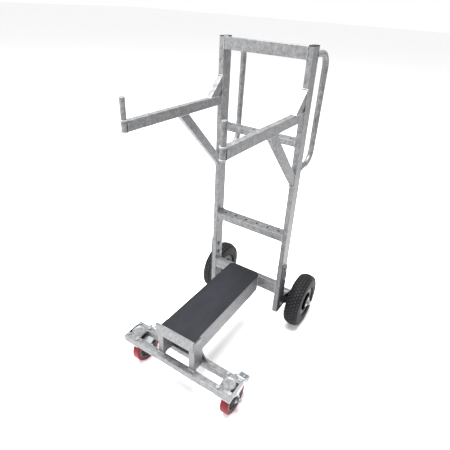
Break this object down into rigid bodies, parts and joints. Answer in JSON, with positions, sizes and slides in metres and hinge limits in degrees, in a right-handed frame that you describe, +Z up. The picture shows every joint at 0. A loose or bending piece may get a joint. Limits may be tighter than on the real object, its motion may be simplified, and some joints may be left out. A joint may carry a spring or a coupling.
{
  "type": "game cart",
  "caption": "Two-wheeled aluminium cart with upright frame, carrying arms with end posts, push handles, a low gripping deck and a castered foot with wheel brakes.",
  "frame": {"origin": "on the ground at the middle of the cart's footprint", "axes": "+Z up, -Y towards the free ends of the arms, +X to the right when looking along +Y; X = 0 is the mirror plane"},
  "size_m": [0.554, 0.776, 1.2245],
  "materials": {
    "mill_aluminium": "mottled mill finish",
    "black_coated_steel": "satin black coating",
    "black_plastic": "matte",
    "grip_sheet": "ribbed matte",
    "zinc_plated_steel": "bright zinc",
    "black_rim": "satin",
    "tyre_rubber": "matte",
    "inner_tube_rubber": "matte",
    "bearing_steel": "polished",
    "grey_plastic": "satin",
    "red_tread": "satin"
  },
  "bodies": {
    "frame": {"arm_braces": "mill_aluminium", "arm_left": "mill_aluminium", "arm_posts": "mill_aluminium", "arm_right": "mill_aluminium", "arm_struts": "mill_aluminium", "axle_bracket_left": "black_coated_steel", "axle_bracket_right": "black_coated_steel", "axle_nuts": "zinc_plated_steel", "axle_spacers": "zinc_plated_steel", "axle_tube": "mill_aluminium", "axle_washers": "zinc_plated_steel", "bottom_crossbar": "mill_aluminium", "bracket_bolts": "zinc_plated_steel", "caster_bolts": "zinc_plated_steel", "caster_top_plates": "zinc_plated_steel", "deck_board": "mill_aluminium", "deck_front_lip": "mill_aluminium", "deck_grip_sheet": "grip_sheet", "deck_rails": "mill_aluminium", "deck_screws": "zinc_plated_steel", "foot_beams": "mill_aluminium", "foot_carrier_plates": "mill_aluminium", "foot_end_strips": "mill_aluminium", "handle_left": "mill_aluminium", "handle_right": "mill_aluminium", "kingpins": "zinc_plated_steel", "leg_gussets": "mill_aluminium", "legs": "mill_aluminium", "lock_nuts": "zinc_plated_steel", "lower_rung": "mill_aluminium", "rear_axle": "zinc_plated_steel", "swivel_balls": "bearing_steel", "thread_inserts": "zinc_plated_steel", "top_beam": "mill_aluminium", "upper_rung": "mill_aluminium", "upright_caps": "black_plastic", "upright_left": "mill_aluminium", "upright_right": "mill_aluminium"},
    "wheel_left": {"rear_rim_left": "black_rim", "rear_tyre_left": "tyre_rubber", "rear_inner_tube_left": "inner_tube_rubber", "rear_bearings_left": "bearing_steel"},
    "caster_left": {"caster_fork_left": "zinc_plated_steel", "caster_axle_left": "zinc_plated_steel", "brake_pin_left": "zinc_plated_steel"},
    "caster_wheel_left": {"caster_core_left": "grey_plastic", "caster_tread_left": "red_tread", "caster_bearings_left": "bearing_steel"},
    "brake_left": {"brake_pedal_left": "zinc_plated_steel"},
    "wheel_right": {"rear_rim_right": "black_rim", "rear_tyre_right": "tyre_rubber", "rear_inner_tube_right": "inner_tube_rubber", "rear_bearings_right": "bearing_steel"},
    "caster_right": {"caster_fork_right": "zinc_plated_steel", "caster_axle_right": "zinc_plated_steel", "brake_pin_right": "zinc_plated_steel"},
    "caster_wheel_right": {"caster_core_right": "grey_plastic", "caster_tread_right": "red_tread", "caster_bearings_right": "bearing_steel"},
    "brake_right": {"brake_pedal_right": "zinc_plated_steel"}
  },
  "joints": [
    {"name": "wheel_spin_left", "type": "hinge", "parent": "frame", "child": "wheel_left", "pos_m": [-0.225, 0.263, 0.125], "axis": [1, 0, 0], "continuous": true},
    {"name": "caster_swivel_left", "type": "hinge", "parent": "frame", "child": "caster_left", "pos_m": [-0.212, -0.342, 0.136], "axis": [0, 0, 1], "continuous": true},
    {"name": "caster_roll_left", "type": "hinge", "parent": "caster_left", "child": "caster_wheel_left", "pos_m": [-0.212, -0.309, 0.0625], "axis": [1, 0, 0], "continuous": true},
    {"name": "brake_press_left", "type": "hinge", "parent": "caster_left", "child": "brake_left", "pos_m": [-0.212, -0.25786, 0.11189], "axis": [-1, 0, 0], "range_deg": [0, 6]},
    {"name": "wheel_spin_right", "type": "hinge", "parent": "frame", "child": "wheel_right", "pos_m": [0.225, 0.263, 0.125], "axis": [1, 0, 0], "continuous": true},
    {"name": "caster_swivel_right", "type": "hinge", "parent": "frame", "child": "caster_right", "pos_m": [0.212, -0.342, 0.136], "axis": [0, 0, 1], "continuous": true},
    {"name": "caster_roll_right", "type": "hinge", "parent": "caster_right", "child": "caster_wheel_right", "pos_m": [0.212, -0.309, 0.0625], "axis": [1, 0, 0], "continuous": true},
    {"name": "brake_press_right", "type": "hinge", "parent": "caster_right", "child": "brake_right", "pos_m": [0.212, -0.25786, 0.11189], "axis": [-1, 0, 0], "range_deg": [0, 6]}
  ]
}
